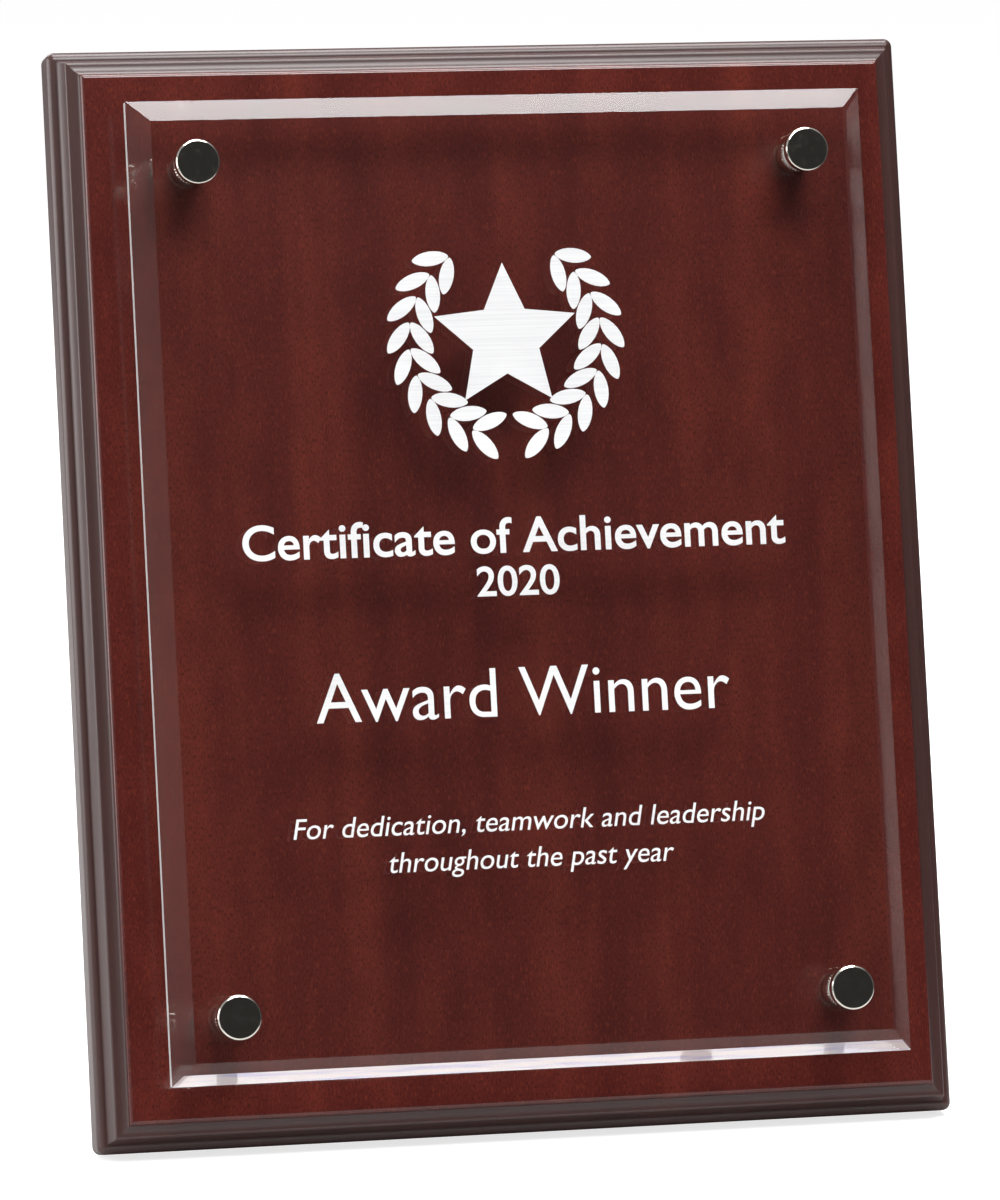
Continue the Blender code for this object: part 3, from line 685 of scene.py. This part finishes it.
def acrylic(name, passing, clearness=1.0, haze=0.0, painted_glow=0.0):
    """Clear acrylic. The share passing of the lamps' light falls through it; gathered is the strength of a painted
    glow here, an emission that stands in for light that has run down inside the plate and leaves at its lower
    edge."""
    clear = Shader(bpy.data.materials.new(name))
    at = clear.upright()
    polish = clear.grain(at, (0.35, 0.35, 0.35))
    # painted glow: warm and violet streaks tint the emission that stands in for light piped down the plate
    glow_streaks = clear.ramp(clear.grain(at, (0.05, 0.5, 0.9), offset=(3, 0, 7)), 0.42, 0.66)
    body = clear.node("BsdfPrincipled", {}, {
        "Base Color": (0.985, 0.992, 0.988, 1),
        "Roughness": clear.ramp(polish, 0.45, 0.75, haze, haze + 0.012),
        "IOR": 1.49,
        "Transmission Weight": clearness,
        "Emission Color": clear.mix(glow_streaks, (1.0, 0.96, 0.95), (0.66, 0.70, 1.0)),
        "Emission Strength": painted_glow,
    })
    lamp_rays = clear.node("LightPath", output="Is Shadow Ray")
    bounced_rays = clear.node("LightPath", output="Is Diffuse Ray")
    # a ray mirrored twice is let out at the next face, or in the bevels it would end black
    mirrorings = clear.node("LightPath", output="Glossy Depth")
    trapped = mirrorings.maths("GREATER_THAN", 1.5)
    let_through = lamp_rays.maths("MAXIMUM", bounced_rays).maths("MAXIMUM", trapped)
    straight = clear.node("BsdfTransparent", {}, {"Color": (passing, passing, passing, 1)})
    mixed = clear.node("MixShader", {}, {0: let_through, 1: body, 2: straight})
    clear.node("OutputMaterial", {}, {"Surface": mixed})
    return clear.owner


plate = finish_piece("clear_plate", bm, acrylic("clear acrylic", 0.94), crease=8)
for finish in (
    acrylic("bevelled acrylic", 0.45, haze=0.025),
    # painted highlight on the left side wall
    acrylic("acrylic left wall, painted highlight", 0.6, clearness=0.35),
    # painted glow on the lower half of the bottom bevel
    acrylic("bevel with painted glow", 0.45, haze=0.025, painted_glow=0.40),
):
    plate.data.materials.append(finish)
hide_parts("display_plate")


# Emblem and wording ------------------------------------------------------------------
# Laser-frosted on the plate's front: a star between two laurel branches, a title with
# its year, the winner's line, and two small lines of thanks. All of it is generic.

FROST_THICKNESS = 0.05 * MM
FROST_GAP = 0.01 * MM
ENGRAVING_MIDDLE = -1.5 * MM
# of letters in the built-in face at size 1
CAPITAL_HEIGHT = 0.682
LETTER_WELD = 0.00001
BOLD, LIGHT, ITALIC = 0.013, -0.002, 0.2
frost_y = plate_front - FROST_GAP

frost = Shader(bpy.data.materials.new("frosted engraving"))
at = frost.upright()
passes = frost.grain(at, (0.030, 1.0, 3.2), detail=3.0)
sweep = frost.grain(at, (0.045, 1.0, 0.030), offset=(2, 0, 4), detail=1.0)
tone = frost.ramp(passes, 0.30, 0.70) * 0.5 + frost.ramp(sweep, 0.35, 0.65) * 0.5
frost.surface({
    "Base Color": frost.mix(tone, (0.74, 0.74, 0.75), (0.90, 0.90, 0.90)),
    "Roughness": 0.62 + passes * 0.15,
    "Normal": frost.bump(passes, 0.02 * MM, 0.5),
})


def thicken(bm):
    """Gives flat faces in the plane y = frost_y the engraving's thickness."""
    made = bmesh.ops.extrude_face_region(bm, geom=bm.faces[:])["geom"]
    new = [item for item in made if isinstance(item, bmesh.types.BMVert)]
    bmesh.ops.translate(bm, vec=(0, -FROST_THICKNESS, 0), verts=new)
    bmesh.ops.recalc_face_normals(bm, faces=bm.faces)


def flat_shape(bm, segments, reach, turn=0.0, middle=(0, 0)):
    """A face whose rim is reach(angle) from its middle, as (across, along)."""
    made = bmesh.ops.create_circle(bm, cap_ends=True, segments=segments, radius=1)["verts"]
    for number, vert in enumerate(made):
        across, along = reach(2 * math.pi * number / segments)
        vert.co = (
            middle[0] + across * math.cos(turn) - along * math.sin(turn),
            frost_y,
            middle[1] + across * math.sin(turn) + along * math.cos(turn),
        )


STAR_RADIUS = 17.5 * MM
STAR_WAIST = 8.2 * MM
BRANCH_RADIUS = 22.5 * MM
BRANCH_START = -76
BRANCH_SWEEP = 124
LEAVES = 9
LEAF_LENGTH = 4.35 * MM
LEAF_WIDTH = 1.7 * MM
LEAF_OFFSET = 2.75 * MM
LEAF_LEAN = 0.62
EMBLEM_HEIGHT = 182.5 * MM
emblem_middle = (ENGRAVING_MIDDLE, EMBLEM_HEIGHT)


def star_reach(angle):
    """The star's tips and waists in turn, the first tip upwards."""
    reach = STAR_WAIST if round(angle / math.pi * 5) % 2 else STAR_RADIUS
    return reach * math.sin(angle), reach * math.cos(angle)


def leaf_reach(angle):
    """A leaf drawn upwards, full in the middle and pointed at both ends."""
    fullness = math.sin(angle) * abs(math.sin(angle)) ** 0.3
    return LEAF_WIDTH * fullness, LEAF_LENGTH * math.cos(angle)


bm = bmesh.new()
flat_shape(bm, 10, star_reach, middle=emblem_middle)
thicken(bm)
star = finish_piece("emblem_star", bm, frost.owner)

bm = bmesh.new()
for side in (-1, 1):
    for leaf in range(LEAVES):
        along_branch = math.radians(BRANCH_START + BRANCH_SWEEP * leaf / (LEAVES - 1))
        for outwards in (1, -1):
            turn = side * (along_branch + outwards * LEAF_LEAN)
            radius = BRANCH_RADIUS + outwards * LEAF_OFFSET
            middle = (
                emblem_middle[0] + side * radius * math.cos(along_branch),
                emblem_middle[1] + radius * math.sin(along_branch),
            )
            flat_shape(bm, 20, leaf_reach, turn, middle)
thicken(bm)
laurel = finish_piece("emblem_laurel", bm, frost.owner)


def wording(name, text, width, capitals, height, weight=0.0, slant=0.0):
    """A line centred at a height on the board, fitted to its width and its capitals' height."""
    curve = bpy.data.curves.new(name, "FONT")
    curve.body = text
    curve.align_x = "CENTER"
    curve.offset = weight
    curve.shear = slant
    curve.resolution_u = 8
    holder = bpy.data.objects.new(name, curve)
    bpy.context.scene.collection.objects.link(holder)
    graph = bpy.context.evaluated_depsgraph_get()
    flat = bpy.data.meshes.new_from_object(holder.evaluated_get(graph))
    bpy.data.objects.remove(holder)
    bm = bmesh.new()
    bm.from_mesh(flat)
    bmesh.ops.remove_doubles(bm, verts=bm.verts, dist=LETTER_WELD)
    across = [vert.co.x for vert in bm.verts]
    stretch = width / (max(across) - min(across))
    centre = (max(across) + min(across)) / 2
    rise = capitals / CAPITAL_HEIGHT
    for vert in bm.verts:
        vert.co = (
            ENGRAVING_MIDDLE + (vert.co.x - centre) * stretch,
            frost_y,
            height + (vert.co.y - CAPITAL_HEIGHT / 2) * rise,
        )
    thicken(bm)
    finish_piece(name, bm, frost.owner)


wording("wording_title", "Certificate of Achievement", 128.0 * MM, 7.8 * MM, 137.0 * MM, BOLD)
wording("wording_year", "2020", 19.5 * MM, 6.6 * MM, 126.5 * MM, BOLD)
wording("wording_winner", "Award Winner", 97.5 * MM, 11.2 * MM, 101.0 * MM, LIGHT)
for name, text, width, height in (
    ("wording_thanks", "For dedication, teamwork and leadership", 111.0 * MM, 71.5 * MM),
    ("wording_thanks_end", "throughout the past year", 67.0 * MM, 63.0 * MM),
):
    wording(name, text, width, 4.6 * MM, height, slant=ITALIC)


# Stand-offs --------------------------------------------------------------------------
# Turned brass, nickel-plated and polished. Each barrel is knurled and screwed to the
# board, and a cap with a threaded stud clamps the plate between two nylon washers.

KNURL_RIDGES = 36
KNURL_DEPTH = 0.25 * MM
KNURL_END = 0.45 * MM
CAP_CHAMFER = 0.28 * MM
CAP_EASE = 0.10 * MM
CAP_GAP = 0.15 * MM
STUD_RADIUS = 2.4 * MM
STUD_CHAMFER = 0.3 * MM
BORE_PLAY = 0.15 * MM
TURNED_STEPS = 72

nickel = Shader(bpy.data.materials.new("polished nickel"))
at = nickel.upright()
stud_x = abs(studs["top_right"][0]) / MM
stud_z = abs(studs["top_right"][1] - plate_middle[1]) / MM
across = abs(nickel.part(at, 0)) - stud_x
along = abs(nickel.part(at, 2) - plate_middle[1] / MM) - stud_z
radius = (across * across + along * along) ** 0.5
turning = nickel.node(
    "TexNoise", {"noise_dimensions": "1D"}, {"W": radius, "Scale": 9.0, "Detail": 2.0}
)
smears = nickel.grain(at, (0.5, 0.5, 0.5), detail=3.0)
nickel.surface({
    "Base Color": nickel.mix(smears, (0.70, 0.655, 0.575), (0.80, 0.765, 0.695)),
    "Metallic": 1.0,
    "Roughness": 0.06 + nickel.ramp(smears, 0.45, 0.75) * 0.07 + turning * 0.03,
    "Normal": nickel.bump(turning, 0.002 * MM, 0.4),
})
steel = Shader(bpy.data.materials.new("screw steel"))
at = steel.upright()
tarnish = steel.grain(at, (0.9, 0.9, 0.9), detail=4.0)
steel.surface({
    "Base Color": steel.mix(tarnish, (0.40, 0.40, 0.39), (0.60, 0.60, 0.58)),
    "Metallic": 1.0,
    "Roughness": 0.28 + tarnish * 0.22,
    "Normal": steel.bump(tarnish, 0.01 * MM, 0.5),
})
nylon = Shader(bpy.data.materials.new("clear nylon"))
at = nylon.upright()
cloud = nylon.grain(at, (1.2, 1.2, 1.2), detail=2.0)
nylon.surface({
    "Base Color": nylon.mix(cloud, (0.78, 0.78, 0.75), (0.90, 0.90, 0.88)),
    "Roughness": 0.25 + cloud * 0.2,
    "Transmission Weight": 0.55,
    "IOR": 1.53,
})


def dress(node, finish):
    """Gives a CAD piece that is kept as it is its finished material."""
    piece = frame["nodes"][node]
    piece.data.materials.clear()
    piece.data.materials.append(finish.owner)


def turned(bm, profile, middle):
    """Spins a profile of (radius, distance in front of the board) about the stud's axis."""
    verts = [bm.verts.new((middle[0] + r, -distance, middle[1])) for r, distance in profile]
    edges = [bm.edges.new(pair) for pair in zip(verts, verts[1:])]
    bmesh.ops.spin(
        bm, geom=verts + edges, cent=(middle[0], 0, middle[1]), axis=(0, 1, 0),
        angle=2 * math.pi, steps=TURNED_STEPS, use_merge=True,
    )
    close_mesh(bm)


def round_wall(middle, depth, radius, knurl=None):
    """A place() for extrude_loop: at a radius, or where knurl is given, KNURL_DEPTH inside
    it where knurl is 0 and waving between there and the ridges where it is 1."""

    def place(point):
        angle = math.atan2(point.z - middle[1], point.x - middle[0])
        reach = radius
        if knurl is not None:
            sunk = (0.5 - 0.5 * math.cos(angle * KNURL_RIDGES)) ** 0.7
            reach = radius - KNURL_DEPTH * (1 - knurl + knurl * sunk)
        across, along = reach * math.cos(angle), reach * math.sin(angle)
        return (middle[0] + across, depth, middle[1] + along)

    return place


bore_radius = STUD_RADIUS + BORE_PLAY
for corner, (x, z) in studs.items():
    barrel_low, barrel_high = upright_box("standoff_barrel_" + corner)
    barrel_radius = (barrel_high.x - barrel_low.x) / 2
    bm = bmesh.new()
    ring = bmesh.ops.create_circle(
        bm, segments=6 * KNURL_RIDGES, radius=bore_radius,
        matrix=Matrix.Translation((x, barrel_high.y, z)) @ Matrix.Rotation(math.radians(90), 4, "X"),
    )["verts"]
    inner = list({edge for vert in ring for edge in vert.link_edges})
    loop = inner
    # from the bore out over the back end, along the ridges and in over the front end
    for depth, share in (
        (barrel_high.y, 0.0),
        (barrel_high.y - 0.5 * KNURL_END, 0.0),
        (barrel_high.y - KNURL_END, 1.0),
        (barrel_low.y + KNURL_END, 1.0),
        (barrel_low.y + 0.5 * KNURL_END, 0.0),
        (barrel_low.y, 0.0),
    ):
        loop = extrude_loop(bm, loop, round_wall((x, z), depth, barrel_radius, share))
    loop = extrude_loop(bm, loop, round_wall((x, z), barrel_low.y, bore_radius))
    bmesh.ops.bridge_loops(bm, edges=loop + inner)
    close_mesh(bm)
    barrel = finish_piece("barrel_" + corner, bm, nickel.owner, crease=25)
    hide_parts("standoff_barrel_" + corner)

    cap_low, cap_high = upright_box("standoff_cap_" + corner)
    cap_radius = (cap_high.x - cap_low.x) / 2
    washer_front = upright_box("front_washer_" + corner)[0].y
    face, under, stud_end = -cap_low.y, CAP_GAP - washer_front, -cap_high.y
    bm = bmesh.new()
    turned(bm, [
        (0, face),
        (cap_radius - CAP_CHAMFER - 2 * CAP_EASE, face),
        (cap_radius - CAP_CHAMFER - CAP_EASE, face),
        (cap_radius - CAP_CHAMFER + CAP_EASE * 0.5, face - CAP_EASE * 0.5),
        (cap_radius - CAP_EASE * 0.5, face - CAP_CHAMFER + CAP_EASE * 0.5),
        (cap_radius, face - CAP_CHAMFER - CAP_EASE),
        (cap_radius, under + CAP_EASE),
        (cap_radius - CAP_EASE, under),
        (STUD_RADIUS, under),
        (STUD_RADIUS, stud_end + STUD_CHAMFER),
        (STUD_RADIUS - STUD_CHAMFER, stud_end),
        (0, stud_end),
    ], (x, z))
    cap = finish_piece("cap_" + corner, bm, nickel.owner, crease=12)
    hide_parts("standoff_cap_" + corner)
    dress("front_washer_" + corner, nylon)
    dress("rear_washer_" + corner, nylon)
    dress("barrel_screw_" + corner, steel)


# Easel strut and its hinge -----------------------------------------------------------
# A tapered strut of black-lacquered board that folds flat on a small steel hinge: one
# leaf screwed to the board in the felt's window, the other to the strut's front.

STRUT_EASE = 0.7 * MM
LEAF_EASE = 0.18 * MM
CAD_WELD = 0.002 * MM
FLAT_ANGLE = math.radians(2)
EDGE_ANGLE = math.radians(50)

joint = frame["joints"][0]
pin = Matrix.Translation(Vector(joint["pos_m"]))
opened = math.radians(max(joint["range_deg"]))
STRUT = pin @ Matrix.Rotation(opened, 4, "X") @ pin.inverted() @ PLAQUE


def eased_copy(name, node, ease, material, body, steps=2):
    """A CAD piece with its loose triangles joined and its sharp edges rounded off."""
    bm = bmesh.new()
    bm.from_mesh(frame["nodes"][node].data)
    bmesh.ops.remove_doubles(bm, verts=bm.verts, dist=CAD_WELD)
    bmesh.ops.dissolve_limit(
        bm, angle_limit=FLAT_ANGLE, verts=bm.verts[:], edges=bm.edges[:]
    )
    sharp = [
        edge for edge in bm.edges if edge.is_manifold and edge.calc_face_angle() > EDGE_ANGLE
    ]
    bmesh.ops.bevel(
        bm, geom=sharp, affect="EDGES", offset=ease, segments=steps, profile=0.5,
        material=-1, clamp_overlap=True,
    )
    piece = finish_piece(name, bm, material, body, Matrix.Identity(4))
    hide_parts(node)
    return piece


black = Shader(bpy.data.materials.new("black lacquer"))
at = black.upright(STRUT)
grain = black.grain(at, (1.8, 1.8, 0.09), detail=3.0)
waves = black.grain(at, (0.08, 0.08, 0.08), offset=(4, 4, 4), detail=2.0)
rubbed = black.grain(at, (0.03, 0.03, 0.09), offset=(9, 1, 5), detail=4.0)
black.surface({
    "Base Color": black.mix(
        black.ramp(grain, 0.35, 0.65), (0.0065, 0.0060, 0.0058), (0.0135, 0.0122, 0.0118)
    ),
    "Roughness": 0.44 + black.ramp(rubbed, 0.40, 0.70) * 0.12,
    "Specular IOR Level": 0.4,
    "Normal": black.bump(grain + waves, 0.02 * MM, 0.4),
})
strut = eased_copy("strut_board", "easel_strut", STRUT_EASE, black.owner, "strut", steps=3)

zinc = Shader(bpy.data.materials.new("zinc plate"))
at = zinc.upright()
brushed = zinc.grain(at, (0.15, 2.0, 7.0), detail=3.0)
bloom = zinc.grain(at, (0.22, 0.22, 0.22), offset=(6, 2, 8), detail=4.0)
zinc.surface({
    "Base Color": zinc.mix(
        zinc.ramp(bloom, 0.35, 0.65), (0.50, 0.505, 0.52), (0.68, 0.67, 0.64)
    ),
    "Metallic": 1.0,
    "Roughness": 0.27 + brushed * 0.18,
    "Normal": zinc.bump(brushed, 0.008 * MM, 0.5),
})
for name, node, body in (
    ("hinge_leaf_fixed", "hinge_leaf_board", "plaque"),
    ("hinge_leaf_moving", "hinge_leaf_strut", "strut"),
):
    eased_copy(name, node, LEAF_EASE, zinc.owner, body)
dress("hinge_pin", zinc)
for side in ("left", "right"):
    dress("hinge_screw_board_" + side, steel)
    dress("hinge_screw_strut_" + side, steel)


# Keyhole hanger ----------------------------------------------------------------------
# A pressed zinc-plated steel plate let in flush over the hollow in the back and held by
# two countersunk screws, for a wall screw's head.

HANGER_EASE = 0.2 * MM
hanger = eased_copy("hanger_plate", "keyhole_plate", HANGER_EASE, zinc.owner, "plaque")
for end in ("top", "bottom"):
    dress("keyhole_screw_" + end, steel)
